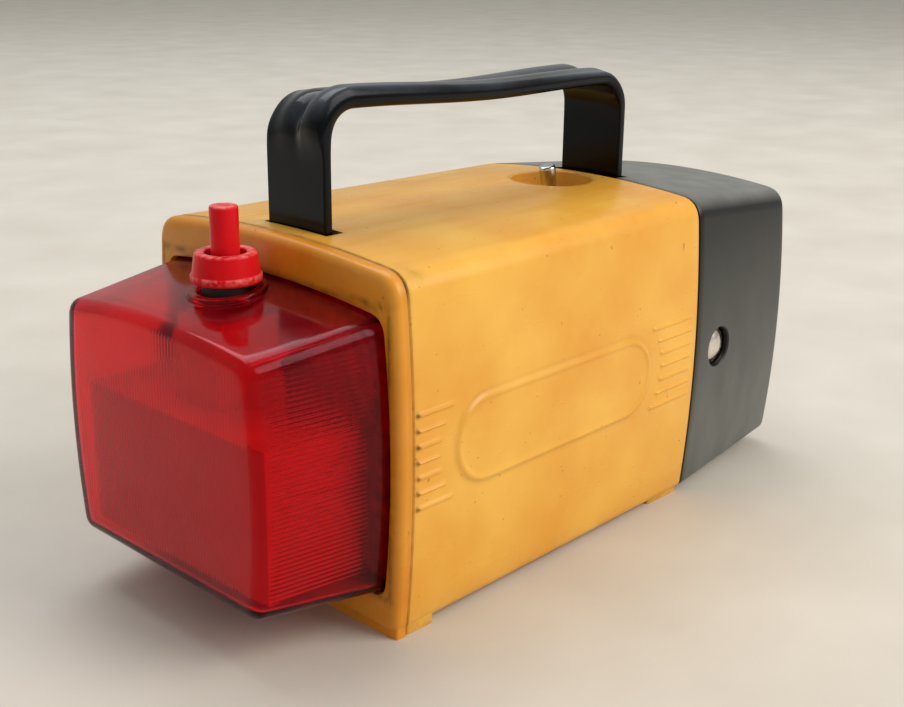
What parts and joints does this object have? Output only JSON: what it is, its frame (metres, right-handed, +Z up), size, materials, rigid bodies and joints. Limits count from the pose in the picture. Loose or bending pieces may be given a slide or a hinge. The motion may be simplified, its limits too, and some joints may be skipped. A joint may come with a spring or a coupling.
{
  "type": "hand lantern",
  "caption": "Box-shaped hand lantern with strap handle, front spot lamp in a draw-off head, rear flasher lens with push button, and toggle switch.",
  "frame": {"origin": "on the ground under the middle of the lantern's box", "axes": "+X along the beam, towards the lamp head; +Z up; +Y to the lantern's left as it shines forward"},
  "size_m": [0.2294, 0.1032, 0.135],
  "materials": {
    "yellow_plastic": "semi-gloss moulded plastic, worn",
    "red_lens": "glossy translucent red plastic",
    "red_plastic": "moulded opaque red plastic",
    "black_gloss": "glossy black plastic",
    "black_satin": "satin black plastic",
    "chrome": "polished",
    "nickel": "nickel plated",
    "steel": "zinc plated",
    "brass": "bright",
    "rubber": "matt",
    "white_plastic": "plain white",
    "frosted_plastic": "frosted white",
    "bakelite": "dark brown moulded",
    "mirror": "silvered",
    "clear_glass": "clear",
    "card": "printed card jacket, plain",
    "foam": "soft foam"
  },
  "bodies": {
    "case": {"case_body": "yellow_plastic", "rear_bezel": "yellow_plastic", "bezel_screws": "steel", "flasher_lens": "red_lens", "lens_gasket": "rubber", "flasher_carrier": "white_plastic", "flasher_window": "frosted_plastic", "flasher_socket": "bakelite", "flasher_bulb_base": "brass", "flasher_bulb_glass": "clear_glass", "button_switch": "white_plastic", "button_bushing": "black_satin", "button_collar": "red_plastic", "button_spring": "steel", "handle": "black_gloss", "handle_pins": "steel", "toggle_switch": "bakelite", "toggle_nut": "nickel", "toggle_terminals": "brass", "battery_case": "card", "battery_cap": "bakelite", "battery_springs": "brass", "battery_pad": "foam"},
    "plunger": {"button_plunger": "red_plastic"},
    "lever": {"toggle_lever": "chrome"},
    "head": {"head_shell": "black_satin", "front_gasket": "rubber", "front_lens": "clear_glass", "reflector": "mirror", "retainer_ring": "steel", "retainer_screws": "steel", "lamp_holder": "bakelite", "lamp_bulb_base": "brass", "lamp_bulb_glass": "clear_glass", "contact_board": "bakelite", "contact_strips": "brass", "head_screws": "nickel", "head_nuts": "steel"}
  },
  "joints": [
    {"name": "button_press", "type": "slide", "parent": "case", "child": "plunger", "axis": [0, 0, -1], "range_m": [0, 0.004], "stiffness_N_per_m": 150, "deforming": ["button_spring"]},
    {"name": "lever_flip", "type": "hinge", "parent": "case", "child": "lever", "pos_m": [0.03815, 0, 0.0925], "axis": [0, 1, 0], "range_deg": [0, 24]},
    {"name": "head_pull", "type": "slide", "parent": "case", "child": "head", "axis": [1, 0, 0], "range_m": [0, 0.06]}
  ]
}
